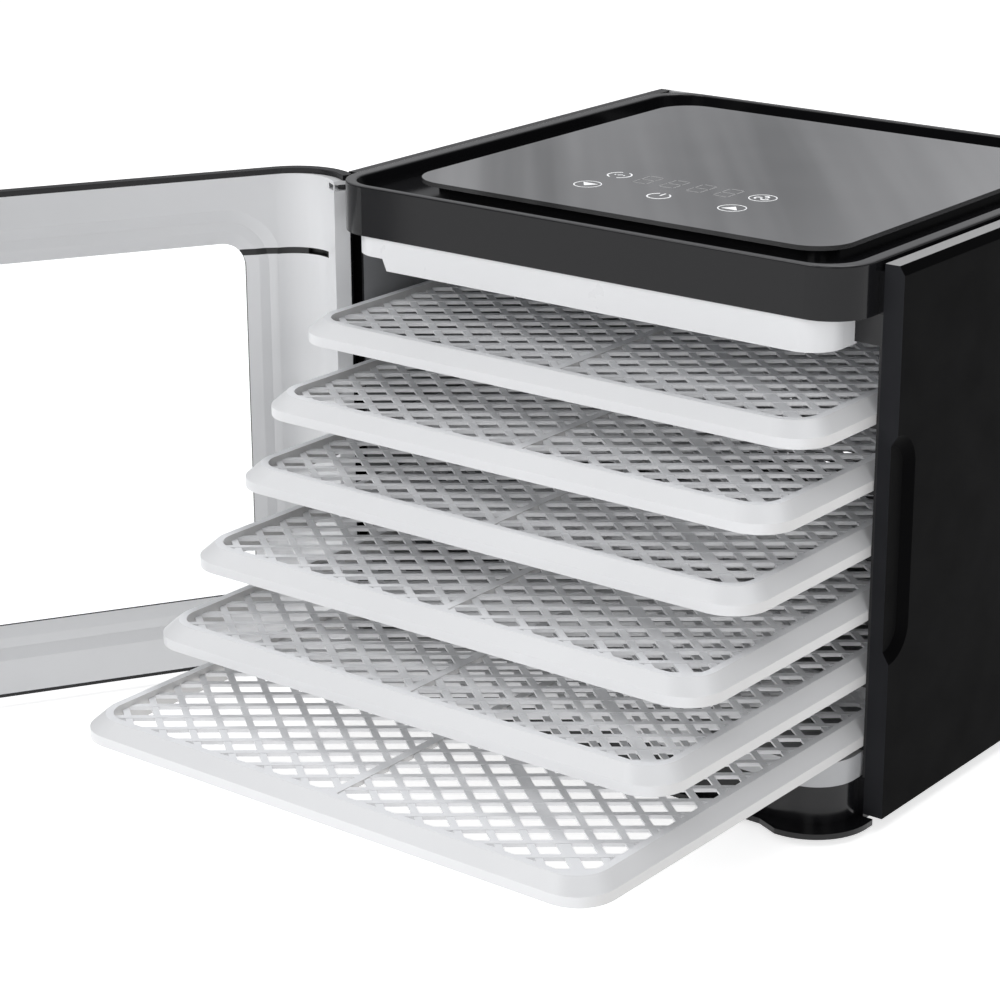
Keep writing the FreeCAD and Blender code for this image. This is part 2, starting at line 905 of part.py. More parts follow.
def swing(obj):
    """Turn a door piece from its closed place about the hinge to where it stands at rest."""
    turn = FreeCAD.Rotation(FreeCAD.Vector(0, 0, 1), -dims.hinge_open.value)
    pivot = FreeCAD.Vector(dims.hinge_across.value, dims.hinge_along.value, 0)
    origin = obj.Placement.Base
    obj.Placement = FreeCAD.Placement(pivot + turn.multVec(origin - pivot), turn)
    return obj


def door_plan(inset):
    """The door's outside in plan: a flat front with two rounded corners."""
    half = dims.body_half - inset
    return rounded(-half, half, dims.door_front + inset, 0, dims.door_round - inset, 1)


def window_outline(grow):
    return rounded(-dims.window_half - grow, dims.window_half + grow,
                   dims.window_low - grow, dims.window_top + grow, dims.window_round + grow)


def door_cuts(piece):
    """Cuts that the shell and the liner share: the open side, the swing relief, the arm slots."""
    low = dims.door_low - 1
    high = dims.door_top + 1
    relief = dims.door_relief + 1
    side = -dims.body_half
    end = dims.door_end
    piece.take("XY", low, high, rectangle(-200, 200, end, 10))
    piece.take("XY", low, high,
               polygon([(side - 1, end - relief), (side - 1, end + 1), (side + relief, end + 1)]))
    for arm_low in (dims.upper_arm_low, dims.lower_arm_low):
        piece.take("XY", arm_low - dims.arm_gap, arm_low + dims.arm_thick + dims.arm_gap,
                   circle(dims.hinge_across, dims.hinge_along, dims.arm_swing))


def make_door_shell():
    shell = Piece("DoorShell")
    shell.add("XY", dims.door_low, dims.door_top, door_plan(as_size(0)))
    shell.take("XY", dims.door_low - 1, dims.door_top + 1, door_plan(dims.door_lip_deep))
    shell.take("XY", dims.liner_low, dims.liner_top, door_plan(dims.door_skin))
    door_cuts(shell)
    back = dims.door_front + dims.door_skin
    shell.take("XZ", -back, -back + dims.pane_thick, window_outline(dims.pane_lap))
    shell.take("XZ", -back, 5 - dims.door_front, window_outline(as_size(0)))
    swing(shell.body)
    shell.keep("door_shell")


def liner_vent():
    """A short slot outline round the inner corner beside the hinge."""
    inner = dims.door_inner_round.value
    depth = dims.vent_deep.value
    middle = (-dims.door_inner_half.value + inner, dims.door_inside.value + inner)
    points = []
    for reach, angles in ((inner - 3, (193.5, 228)), (inner + depth, (228, 211, 193.5))):
        for degrees in angles:
            bend = math.radians(degrees)
            points.append((middle[0] + reach * math.cos(bend), middle[1] + reach * math.sin(bend)))
    return polygon(points)


def make_door_liner():
    inside = dims.door_inside
    half = dims.door_inner_half
    skin_back = dims.door_front + dims.door_skin
    liner = Piece("DoorLiner")
    liner.add("XY", dims.liner_low, dims.liner_top, door_plan(dims.door_skin))
    liner.take("XY", dims.liner_low - 1, dims.liner_top + 1,
               rounded(-half, half, inside, 20, dims.door_inner_round, 1))
    # the shell's top and bottom lips are part of the shell only
    door_cuts(liner)
    step = inside - dims.frame_step
    liner.loft_out("XZ", -inside, window_outline(dims.frame_bevel),
                   -step, window_outline(dims.frame_flat))
    liner.loft_out("XZ", -step, window_outline(dims.frame_slope),
                   -skin_back, window_outline(as_size(0)))
    liner.take("XY", dims.vent_low, dims.vent_low + dims.vent_tall, liner_vent())
    for low, high in pin_spans():
        liner.take("XY", low, high,
                   circle(dims.hinge_across, dims.hinge_along, dims.pin_radius))
    liner.take("XZ", -dims.door_end, -dims.door_end + dims.magnet_deep,
               rectangle(dims.magnet_near, dims.magnet_far, dims.magnet_low,
                         dims.magnet_low + dims.magnet_tall))
    swing(liner.body)
    liner.keep("door_liner")


def make_door_fittings():
    back = dims.door_front + dims.door_skin
    pane = Piece("DoorWindow")
    pane.add("XZ", -back, -back + dims.pane_thick, window_outline(dims.pane_lap))
    swing(pane.body)
    pane.keep("door_window")
    magnet = Piece("DoorMagnet")
    magnet.add("XY", dims.magnet_low, dims.magnet_low + dims.magnet_tall,
               rectangle(dims.magnet_near, dims.magnet_far,
                         dims.door_end - dims.magnet_deep, dims.door_end))
    swing(magnet.body)
    magnet.keep("door_magnet")


# ---- hinge ----

def pin_spans():
    """The (low, high) of each hinge pin: both reach the liner's end and pass through an arm."""
    upper = (dims.upper_arm_low - dims.pin_bury, dims.liner_top)
    lower = (dims.liner_low, dims.lower_arm_low + dims.arm_thick + dims.pin_bury)
    return upper, lower


def make_hinges():
    across = dims.hinge_across
    along = dims.hinge_along
    arms = (dims.upper_arm_low, dims.lower_arm_low)
    for name, low, span in zip(("upper", "lower"), arms, pin_spans()):
        high = low + dims.arm_thick
        arm = Piece(f"Arm_{name}")
        arm.add("XY", low, high, circle(across, along, dims.arm_radius))
        arm.add("XY", low, high, rectangle(across - dims.arm_radius, across + dims.arm_radius,
                                           along, dims.body_front))
        arm.take("XY", low - 1, high + 1, circle(across, along, dims.pin_radius + dims.pin_gap))
        arm.keep(f"{name}_hinge_arm")
        pin = rod(f"Pin_{name}", dims.pin_radius, span[1] - span[0], across, along, span[0])
        keep(pin, f"{name}_hinge_pin")


# ---- rear cover, fan and heater ----

BLADES = 8
LOUVRE_ROWS_EACH_WAY = 9
LOUVRE_COLUMNS = (-1.5, -0.5, 0.5, 1.5)


def make_rear_cover():
    cover = Piece("RearCover")
    levels = (-dims.body_back, -dims.base_back)
    cover.add("XZ", *levels, rectangle(-inner_half, inner_half, dims.panel_low, dims.panel_top))
    slots = []
    half_wide = dims.louvre_wide.value / 2
    half_tall = dims.louvre_tall.value / 2
    for row in range(-LOUVRE_ROWS_EACH_WAY, LOUVRE_ROWS_EACH_WAY + 1):
        middle = dims.fan_high.value + dims.louvre_pitch.value * row
        for column in LOUVRE_COLUMNS:
            centre = dims.louvre_column.value * column
            slots.append(corners(centre - half_wide, centre + half_wide,
                                 middle - half_tall, middle + half_tall))
    cover.slots("XZ", *levels, slots)
    cover.take("XZ", *levels, rectangle(dims.inlet_near, dims.inlet_far,
                                        dims.inlet_low, dims.inlet_high))
    cover.keep("rear_cover")
    reach = dims.screw_slot_reach
    number = 0
    for height in (dims.screw_low, dims.screw_high):
        for across in (-dims.screw_across, dims.screw_across):
            number += 1
            head = rod(f"Screw{number}", dims.screw_radius, dims.screw_tall,
                       across, dims.body_back, height, BACKWARDS)
            slot = box(f"ScrewSlot{number}",
                       (across - reach, across + reach),
                       (dims.body_back + dims.screw_tall / 2, dims.body_back + dims.screw_tall),
                       (height - dims.screw_slot_half, height + dims.screw_slot_half))
            keep(cut(f"ScrewHead{number}", head, [slot]), f"rear_screw_{number}")


def make_fan():
    hub = rod("FanHub", dims.hub_radius, dims.fan_back - dims.fan_front,
              0, dims.fan_front, dims.fan_high, BACKWARDS)
    shaft = rod("FanShaft", dims.shaft_radius, dims.shaft_end - dims.fan_back,
                0, dims.fan_back, dims.fan_high, BACKWARDS)
    pieces = [hub, shaft]
    start = dims.hub_radius - 2
    for count in range(BLADES):
        angle = 360 / BLADES * count
        blade = doc.addObject("Part::Box", f"Blade{count + 1}")
        bind(blade, "Length", dims.fan_radius - start)
        bind(blade, "Width", dims.fan_back - dims.fan_front)
        bind(blade, "Height", dims.blade_thick)
        blade.Placement.Rotation = FreeCAD.Rotation(FreeCAD.Vector(0, -1, 0), angle)
        cosine = math.cos(math.radians(angle))
        sine = math.sin(math.radians(angle))
        drop = dims.blade_thick / 2
        place(blade, start * cosine + drop * sine, dims.fan_front,
              dims.fan_high + start * sine - drop * cosine)
        pieces.append(blade)
    keep(fuse("FanImpeller", pieces), "fan_impeller")

    motor = rod("MotorCan", dims.motor_radius, dims.motor_back - dims.motor_front,
                0, dims.motor_front, dims.fan_high, BACKWARDS)
    bore = rod("MotorBore", dims.shaft_radius + dims.shaft_gap,
               dims.shaft_end + 1 - dims.motor_front, 0, dims.motor_front, dims.fan_high, BACKWARDS)
    keep(cut("FanMotor", motor, [bore]), "fan_motor")

    reach = dims.bracket_reach
    half = dims.bracket_wide / 2
    levels = (dims.motor_back, dims.base_back)
    level_bar = box("BracketBar", (-reach, reach), levels,
                    (dims.fan_high - half, dims.fan_high + half))
    upright = box("BracketPost", (-half, half), levels,
                  (dims.fan_high - reach, dims.fan_high + reach))
    keep(fuse("MotorBracket", [level_bar, upright]), "motor_bracket")


def make_heater():
    coil = doc.addObject("Part::Torus", "HeaterCoil")
    bind(coil, "Radius1", dims.heater_radius)
    bind(coil, "Radius2", dims.heater_wire)
    coil.Placement.Rotation = BACKWARDS
    place(coil, 0, dims.heater_along, dims.fan_high)
    keep(coil, "heater_element")

    front = dims.wall_back + dims.baffle_thick
    outside = rod("RingOuter", dims.heater_ring_outer, dims.heater_ring_thick,
                  0, front, dims.fan_high, BACKWARDS)
    inside = rod("RingInner", dims.heater_ring_inner, dims.heater_ring_thick,
                 0, front, dims.fan_high, BACKWARDS)
    ring = cut("HeaterRing", outside, [inside])
    posts = []
    half = dims.heater_post / 2
    start = dims.heater_radius - half
    finish = dims.heater_radius + half
    levels = (front, dims.heater_along)
    sides = {"right": (start, finish), "left": (-finish, -start)}
    for name, span in sides.items():
        posts.append(box(f"Post_{name}", span, levels,
                         (dims.fan_high - half, dims.fan_high + half)))
    ends = {"top": (dims.fan_high + start, dims.fan_high + finish),
            "bottom": (dims.fan_high - finish, dims.fan_high - start)}
    for name, span in ends.items():
        posts.append(box(f"Post_{name}", (-half, half), levels, span))
    frame = fuse("HeaterPosts", [ring] + posts)
    keep(cut("HeaterFrame", frame, [coil]), "heater_frame")

    cutout = box("ThermalCutout", (dims.cutout_near, dims.cutout_far),
                 (front, front + dims.cutout_deep), (dims.cutout_low, dims.cutout_high))
    keep(cutout, "thermal_cutout")


def make_power():
    floor = dims.base_wall
    top = floor + dims.board_thick
    parts = [box("BoardPlate", (-dims.power_half, dims.power_half),
                 (dims.power_front, dims.power_back), (floor, top))]
    for part in ("choke", "relay", "capacitor"):
        across = (getattr(dims, f"{part}_near"), getattr(dims, f"{part}_far"))
        along = (getattr(dims, f"{part}_front"), getattr(dims, f"{part}_back"))
        tall = getattr(dims, f"{part}_tall")
        parts.append(box(f"Board_{part}", across, along, (top - dims.solder_bury, top + tall)))
    keep(fuse("PowerBoard", parts), "power_board")

    wall = dims.socket_wall
    body = box("InletBody", (dims.inlet_near, dims.inlet_far),
               (dims.inlet_front, dims.inlet_back), (dims.inlet_low, dims.inlet_high))
    socket = box("InletSocket", (dims.inlet_near + wall, dims.inlet_far - wall),
                 (dims.inlet_back - dims.socket_deep, dims.inlet_back + 1),
                 (dims.inlet_low + wall, dims.inlet_high - wall))
    keep(cut("PowerInlet", body, [socket]), "power_inlet")


make_base()
make_feet()
make_panels()
make_header()
make_controls()
make_liner_walls()
make_liner_band()
make_liner_floor()
make_baffle()
make_door_shell()
make_door_liner()
make_door_fittings()
make_hinges()
make_rear_cover()
make_fan()
make_heater()
make_power()
make_trays()
doc.recompute()

for obj in doc.Objects:
    if "Invalid" in obj.State or "Error" in obj.State:
        raise RuntimeError(f"{obj.Name} failed: {obj.State}")

os.makedirs("parts", exist_ok=True)
for node in nodes:
    if node.Shape.isNull() or not node.Shape.isValid():
        raise RuntimeError(f"{node.Label} has no valid shape")
    print(node.Label, round(node.Shape.Volume), len(node.Shape.Solids), len(node.Shape.Faces))
    node.Shape.exportStep(f"parts/{node.Label}.step")
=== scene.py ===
import math

import bpy
from mathutils import Matrix, Vector


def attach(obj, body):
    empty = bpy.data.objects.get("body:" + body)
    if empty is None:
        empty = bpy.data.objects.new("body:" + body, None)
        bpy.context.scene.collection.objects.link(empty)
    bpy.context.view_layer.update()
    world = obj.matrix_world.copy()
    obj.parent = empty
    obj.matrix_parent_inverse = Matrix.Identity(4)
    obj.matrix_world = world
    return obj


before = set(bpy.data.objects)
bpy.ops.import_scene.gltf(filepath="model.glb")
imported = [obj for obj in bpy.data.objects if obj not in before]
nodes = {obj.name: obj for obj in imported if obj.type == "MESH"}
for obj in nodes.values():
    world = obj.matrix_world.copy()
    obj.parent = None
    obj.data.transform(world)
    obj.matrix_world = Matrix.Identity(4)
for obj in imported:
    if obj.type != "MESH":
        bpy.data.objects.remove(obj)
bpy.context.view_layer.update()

MM = 0.001
scene = bpy.context.scene


# ---- material building blocks ----

# the span that most of a noise texture's values fall in
NOISE_LOW, NOISE_HIGH = 0.3, 0.7
CLOUD_SCALE = 9.0
PATCH_SCALE = 35.0
# how much smoother and rougher than its mean a surface gets
SMOOTHEST, ROUGHEST = 0.88, 1.14
# width over which a box of painted shade fades in at its sides
SOFT = 0.00008
# the painted shade colour over the vent slot
PAINTED_SHADE_BLACK = (0.002, 0.002, 0.002, 1.0)


def new_material(name):
    material = bpy.data.materials.new(name)
    material.use_nodes = True
    tree = material.node_tree
    shader = next(node for node in tree.nodes if node.type == "BSDF_PRINCIPLED")
    return material, tree, shader


def noise(tree, scale, detail=4.0, stretch=(1.0, 1.0, 1.0)):
    """Noise in object space, stretched along one axis if wanted."""
    place = tree.nodes.new("ShaderNodeTexCoord")
    mapping = tree.nodes.new("ShaderNodeMapping")
    mapping.inputs["Scale"].default_value = stretch
    cloud = tree.nodes.new("ShaderNodeTexNoise")
    cloud.inputs["Scale"].default_value = scale
    cloud.inputs["Detail"].default_value = detail
    tree.links.new(place.outputs["Object"], mapping.inputs["Vector"])
    tree.links.new(mapping.outputs["Vector"], cloud.inputs["Vector"])
    return cloud.outputs["Fac"]


def ramp(tree, source, stops):
    """A ramp between two colours, driven by a value."""
    node = tree.nodes.new("ShaderNodeValToRGB")
    for element, (where, colour) in zip(node.color_ramp.elements, stops):
        element.position = where
        element.color = (*colour, 1.0)
    tree.links.new(source, node.inputs["Fac"])
    return node.outputs["Color"]


def spread(tree, source, low, high):
    """A value stretched from the noise's usual span to low..high."""
    node = tree.nodes.new("ShaderNodeMapRange")
    node.inputs["From Min"].default_value = NOISE_LOW
    node.inputs["From Max"].default_value = NOISE_HIGH
    node.inputs["To Min"].default_value = low
    node.inputs["To Max"].default_value = high
    tree.links.new(source, node.inputs["Value"])
    return node.outputs["Result"]


def bump(tree, shader, source, depth):
    """Fine relief of the given depth in metres."""
    node = tree.nodes.new("ShaderNodeBump")
    node.inputs["Strength"].default_value = 0.6
    node.inputs["Distance"].default_value = depth
    tree.links.new(source, node.inputs["Height"])
    tree.links.new(node.outputs["Normal"], shader.inputs["Normal"])


def inside(tree, output, axis, begin, finish):
    """0 to 1 as one component of the surface's place or normal goes from begin to finish."""
    place = tree.nodes.new("ShaderNodeTexCoord")
    split = tree.nodes.new("ShaderNodeSeparateXYZ")
    step = tree.nodes.new("ShaderNodeMapRange")
    step.inputs["From Min"].default_value = begin
    step.inputs["From Max"].default_value = finish
    tree.links.new(place.outputs[output], split.inputs["Vector"])
    tree.links.new(split.outputs[axis], step.inputs["Value"])
    return step.outputs["Result"]


def toned(tree, base, output, axis, begin, finish, colour):
    """The base colour, giving way to another one on faces that lie or face a certain way, mostly to
    paint light and shade onto them.
    """
    mix = tree.nodes.new("ShaderNodeMixRGB")
    mix.inputs["Color2"].default_value = (*colour, 1.0)
    tree.links.new(inside(tree, output, axis, begin, finish), mix.inputs["Fac"])
    tree.links.new(base, mix.inputs["Color1"])
    return mix.outputs["Color"]


def painted_shade_box(tree, base, low, high):
    """Painted shade: nearly black where the surface lies inside one box."""
    inner = None
    for axis, begin, finish in zip("XYZ", low, high):
        for near, far in ((begin - SOFT, begin), (finish + SOFT, finish)):
            step = inside(tree, "Object", axis, near, far)
            if inner is None:
                inner = step
                continue
            both = tree.nodes.new("ShaderNodeMath")
            both.operation = "MULTIPLY"
            tree.links.new(inner, both.inputs[0])
            tree.links.new(step, both.inputs[1])
            inner = both.outputs["Value"]
    mix = tree.nodes.new("ShaderNodeMixRGB")
    mix.inputs["Color2"].default_value = PAINTED_SHADE_BLACK
    tree.links.new(inner, mix.inputs["Fac"])
    tree.links.new(base, mix.inputs["Color1"])
    return mix.outputs["Color"]


def moulded(name, colour, rough, grain=900.0, depth=0.00003, vary=0.06, coat=0.0,
            stretch=(1.0, 1.0, 1.0), metallic=0.0, specular=0.5, glow=0.0, tones=(),
            slot=None):
    """A surface with faint cloudy tone, uneven gloss and a fine grain.

    Each tone is a place or facing and the colour that it takes there, mostly painted light and shade;
    slot is a box where dark shade is painted in.
    """
    material, tree, shader = new_material(name)
    cloud = noise(tree, CLOUD_SCALE)
    dark = tuple(channel * (1 - vary) for channel in colour)
    light = tuple(min(1.0, channel * (1 + vary)) for channel in colour)
    tint = ramp(tree, cloud, [(NOISE_LOW, dark), (NOISE_HIGH, light)])
    for tone in tones:
        tint = toned(tree, tint, *tone)
    # painted shade: the slot box is made nearly black
    if slot:
        tint = painted_shade_box(tree, tint, *slot)
    tree.links.new(tint, shader.inputs["Base Color"])
    patch = noise(tree, PATCH_SCALE, 6.0, stretch)
    tree.links.new(spread(tree, patch, rough * SMOOTHEST, min(1.0, rough * ROUGHEST)),
                   shader.inputs["Roughness"])
    bump(tree, shader, noise(tree, grain, 3.0, stretch), depth)
    shader.inputs["Metallic"].default_value = metallic
    shader.inputs["Specular IOR Level"].default_value = specular
    shader.inputs["Coat Weight"].default_value = coat
    shader.inputs["Coat Roughness"].default_value = 0.08
    if glow:
        shader.inputs["Emission Color"].default_value = (*colour, 1.0)
        shader.inputs["Emission Strength"].default_value = glow
    return material


# ---- the two glasses ----

PANE_TINT = (0.985, 0.99, 0.99, 1.0)
PANE_GLOSS = 0.05
# the control glass's painted reflection streaks: which way they run, how long for their width, and
# their tones
REFLECTION_STREAK_TURN = 0.6657
REFLECTION_STREAK_LENGTH = 33.0
REFLECTION_STREAK_SCALE = 22.0
PAINTED_REFLECTION_STOPS = [(0.38, (0.36, 0.36, 0.365)), (0.62, (0.74, 0.74, 0.745))]
# the painted reflection grows paler from this place on, to the right and to the back
REFLECTION_PALE_FROM, REFLECTION_PALE_TO = -0.05, 0.35
PAINTED_REFLECTION_PALE = (0.85, 0.85, 0.855)


def clear_pane(name):
    """Clear glass with a faint tint and a real surface gloss."""
    material, tree, shader = new_material(name)
    shader.inputs["Base Color"].default_value = (0.9, 0.92, 0.93, 1.0)
    shader.inputs["IOR"].default_value = 1.45
    smear = noise(tree, 14.0, 5.0)
    tree.links.new(spread(tree, smear, 0.02, 0.07), shader.inputs["Roughness"])
    see = tree.nodes.new("ShaderNodeBsdfTransparent")
    see.inputs["Color"].default_value = PANE_TINT
    mix = tree.nodes.new("ShaderNodeMixShader")
    mix.inputs["Fac"].default_value = PANE_GLOSS
    out = next(node for node in tree.nodes if node.type == "OUTPUT_MATERIAL")
    tree.links.new(see.outputs["BSDF"], mix.inputs[1])
    tree.links.new(shader.outputs["BSDF"], mix.inputs[2])
    tree.links.new(mix.outputs["Shader"], out.inputs["Surface"])
    return material


def control_glass(name):
    """Grey mirror-backed glass with a painted reflection: faint long streaks, paler to the right and to
    the back.
    """
    material, tree, shader = new_material(name)
    place = tree.nodes.new("ShaderNodeTexCoord")
    turned = tree.nodes.new("ShaderNodeMapping")
    turned.vector_type = "TEXTURE"
    turned.inputs["Rotation"].default_value = (0.0, 0.0, REFLECTION_STREAK_TURN)
    turned.inputs["Scale"].default_value = (1.0, REFLECTION_STREAK_LENGTH, 1.0)
    # painted reflection: long streaks along the glass, then paler toward the right and the back
    reflection_streak = tree.nodes.new("ShaderNodeTexNoise")
    reflection_streak.inputs["Scale"].default_value = REFLECTION_STREAK_SCALE
    reflection_streak.inputs["Detail"].default_value = 3.0
    tree.links.new(place.outputs["Object"], turned.inputs["Vector"])
    tree.links.new(turned.outputs["Vector"], reflection_streak.inputs["Vector"])
    tint = ramp(tree, reflection_streak.outputs["Fac"], PAINTED_REFLECTION_STOPS)
    for axis in "XY":
        tint = toned(tree, tint, "Object", axis, REFLECTION_PALE_FROM, REFLECTION_PALE_TO, PAINTED_REFLECTION_PALE)
    tree.links.new(tint, shader.inputs["Base Color"])
    tree.links.new(spread(tree, noise(tree, 20.0, 5.0), 0.16, 0.22), shader.inputs["Roughness"])
    shader.inputs["Metallic"].default_value = 0.85
    shader.inputs["Coat Weight"].default_value = 0.6
    shader.inputs["Coat Roughness"].default_value = 0.04
    return material


# ---- materials ----

# which way a face points, or where it lies, with the span over which its tone comes in; most of these
# tones paint light and shade onto faces
UP = ("Normal", "Z", 0.9, 1.0)
DOWN = ("Normal", "Z", 0.0, -0.45)
FRONT = ("Normal", "Y", -0.9, -1.0)
RIGHT = ("Normal", "X", 0.6, 1.0)
# the header's top rim, where a painted sheen goes
HEADER_RIM = ("Object", "Z", 0.2938, 0.2943)
# the door liner's corner, where painted light goes
DOOR_CORNER = ("Object", "X", -0.29, -0.19)

PAINT = (0.0025, 0.0025, 0.0027)
# painted light: black panel front faces are painted lighter
PAINTED_FRONT_LIGHT = (0.022, 0.0225, 0.025)
# painted sheen on the header's top rim and the left panel's up faces
PAINTED_SHEEN = (0.11, 0.11, 0.112)
# painted highlight: the right panel's up faces are painted a bright sheen
PAINTED_BRIGHT_SHEEN = (0.42, 0.42, 0.42)
DARK_EDGE = (0.01, 0.01, 0.011)
# painted light and shade on the trays: up faces lighter, right faces and down faces darker
PAINTED_TRAY_TOP_LIGHT = (0.88, 0.89, 0.91)
PAINTED_TRAY_SIDE_SHADE = (0.66, 0.655, 0.65)
PAINTED_TRAY_UNDER_SHADE = (0.40, 0.395, 0.39)
# painted light: the door liner's corner is painted paler
PAINTED_CORNER_LIGHT = (0.74, 0.745, 0.755)

# the vent slot's levels in the door liner, and how far left its box of painted shade may reach
VENT_LOW, VENT_TOP, VENT_REACH = 0.2444, 0.2479, -0.23


def vent_box():
    """The box round the liner's points between the vent's levels, the slot and some liner beside it,
    where shade is painted in.
    """
    points = [vertex.co for vertex in nodes["door_liner"].data.vertices
              if VENT_LOW - SOFT < vertex.co.z < VENT_TOP + SOFT and vertex.co.x > VENT_REACH]
    low = [min(point[axis] for point in points) for axis in range(3)]
    high = [max(point[axis] for point in points) for axis in range(3)]
    return low, high


black_gloss = moulded("black_gloss", (0.006, 0.006, 0.007), 0.2, coat=0.1, depth=0.00001,
                      specular=0.35)
# the header, with a painted sheen along its top rim
black_header = moulded("black_header", (0.009, 0.009, 0.01), 0.13, depth=0.000003,
                       specular=0.26, tones=[(*HEADER_RIM, PAINTED_SHEEN)])
# black paint for the right panel and the catch plate, with a painted highlight on up faces and painted
# light on front faces
black_paint = moulded("black_paint", PAINT, 0.42, grain=1400.0, depth=0.00001,
                      specular=0.012, tones=[(*UP, PAINTED_BRIGHT_SHEEN), (*FRONT, PAINTED_FRONT_LIGHT)])
# the same black paint for the left panel, with a dimmer painted sheen on up faces
left_paint_painted_sheen = moulded("left_paint_painted_sheen", PAINT, 0.42, grain=1400.0, depth=0.00001,
                     specular=0.012, tones=[(*UP, PAINTED_SHEEN)])
door_black = moulded("door_black", (0.008, 0.008, 0.009), 0.28, specular=0.3)
# the trays carry painted light on up faces and painted shade on right and down faces
tray_white = moulded("tray_white", (0.76, 0.765, 0.775), 0.36, grain=700.0, depth=0.00001,
                     vary=0.02, tones=[(*UP, PAINTED_TRAY_TOP_LIGHT), (*RIGHT, PAINTED_TRAY_SIDE_SHADE), (*DOWN, PAINTED_TRAY_UNDER_SHADE)])
band_white = moulded("band_white", (0.74, 0.745, 0.755), 0.3, grain=700.0, depth=0.00001,
                     vary=0.02)
# one liner in two copies: painted shade makes the left wall darker, painted light makes the right wall
# lighter; front faces of both are dark
liner_painted_shade = moulded("liner_painted_shade", (0.34, 0.345, 0.355), 0.38, vary=0.04,
                     tones=[(*FRONT, DARK_EDGE)])
liner_painted_light = moulded("liner_painted_light", (0.62, 0.625, 0.635), 0.38, vary=0.04,
                      tones=[(*FRONT, DARK_EDGE)])
floor_grey = moulded("floor_grey", (0.42, 0.425, 0.435), 0.34, vary=0.04)
baffle_dark = moulded("baffle_dark", (0.05, 0.05, 0.052), 0.5, vary=0.1)
# the door liner, with painted light on its corner and painted shade, nearly black, over the vent slot
door_silver = moulded("door_silver", (0.55, 0.555, 0.565), 0.32, vary=0.03, depth=0.00001,
                      tones=[(*DOOR_CORNER, PAINTED_CORNER_LIGHT)], slot=vent_box())
cover_grey = moulded("cover_grey", (0.5, 0.505, 0.51), 0.45, grain=1500.0, vary=0.05)
rubber = moulded("rubber", (0.03, 0.03, 0.03), 0.8, grain=1600.0, depth=0.00008, vary=0.2)
steel = moulded("steel", (0.55, 0.55, 0.56), 0.32, grain=500.0, vary=0.08, metallic=1.0,
                stretch=(1.0, 1.0, 14.0))
alloy = moulded("alloy", (0.66, 0.67, 0.68), 0.36, grain=600.0, vary=0.08, metallic=1.0,
                stretch=(8.0, 1.0, 1.0))
heater = moulded("heater", (0.16, 0.12, 0.1), 0.5, grain=900.0, vary=0.3, metallic=0.9)
circuit = moulded("circuit", (0.02, 0.13, 0.06), 0.45, grain=1200.0, vary=0.25)
dull_black = moulded("dull_black", (0.025, 0.025, 0.026), 0.6, grain=1500.0, vary=0.15)
pane = clear_pane("pane")
glass = control_glass("glass")
# printed marks; their glow is painted light
ink_painted_glow = moulded("ink_painted_glow", (0.92, 0.93, 0.94), 0.5, vary=0.03, glow=0.35)
faint_ink = moulded("faint_ink", (0.42, 0.42, 0.425), 0.5, vary=0.03)

DRESS = {
    "base_pan": black_gloss,
    "left_side_panel": left_paint_painted_sheen,
    "right_side_panel": black_paint,
    "door_catch_plate": black_paint,
    "header_shell": black_header,
    "touch_glass": glass,
    "display_board": circuit,
    "liner_left_wall": liner_painted_shade,
    "liner_right_wall": liner_painted_light,
    "liner_top_band": band_white,
    "liner_floor": floor_grey,
    "rear_air_baffle": baffle_dark,
    "upper_hinge_arm": dull_black,
    "lower_hinge_arm": dull_black,
    "rear_cover": cover_grey,
    "fan_motor": steel,
    "motor_bracket": steel,
    "heater_element": heater,
    "heater_frame": steel,
    "thermal_cutout": dull_black,
    "power_board": circuit,
    "power_inlet": dull_black,
    "door_shell": door_black,
    "door_liner": door_silver,
    "door_window": pane,
    "door_magnet": steel,
    "upper_hinge_pin": dull_black,
    "lower_hinge_pin": dull_black,
    "fan_impeller": alloy,
}

for name, node in nodes.items():
    if name.startswith("tray_"):
        chosen = tray_white
    elif name.startswith("foot_"):
        chosen = rubber
    elif name.startswith("rear_screw"):
        chosen = steel
    else:
        chosen = DRESS[name]
    node.data.materials.clear()
    node.data.materials.append(chosen)


# ---- marks on the control glass ----

def mesh_piece(name, points, faces, material, body="cabinet"):
    mesh = bpy.data.meshes.new(name)
    mesh.from_pydata([tuple(c * MM for c in point) for point in points], [], faces)
    mesh.update()
    piece = bpy.data.objects.new(name, mesh)
    scene.collection.objects.link(piece)
    mesh.materials.append(material)
    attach(piece, body)


# sizes here are in millimetres
GLASS_TOP = 294.0
INK_TOP = GLASS_TOP + 0.06
INK_LOW = GLASS_TOP + 0.01

KEY_RADIUS = 7.4
SYMBOL_RADIUS = 6.6
POWER_RADIUS = 6.2
KEY_LINE = 0.55
SYMBOL_LINE = 0.8
DOT_LINE = 0.9
BLADE_LINE = 1.1
BLADE_RADIUS = 2.0
BLADE_OFFSET = 2.3

DOWN_KEY, UP_KEY = (-46.3, -101.3), (46.2, -101.6)
POWER_KEY, TIMER_KEY, FAN_KEY = (0.2, -101.7), (-45.6, -73.0), (46.4, -73.0)

DIGITS = 4
DIGIT_WIDE, DIGIT_TALL = 9.0, 17.0
DIGIT_GAP, DIGIT_LINE = 0.8, 0.8
DIGIT_PITCH = 17.3
DIGITS_LEFT, DIGITS_FRONT = -30.6, -82.5


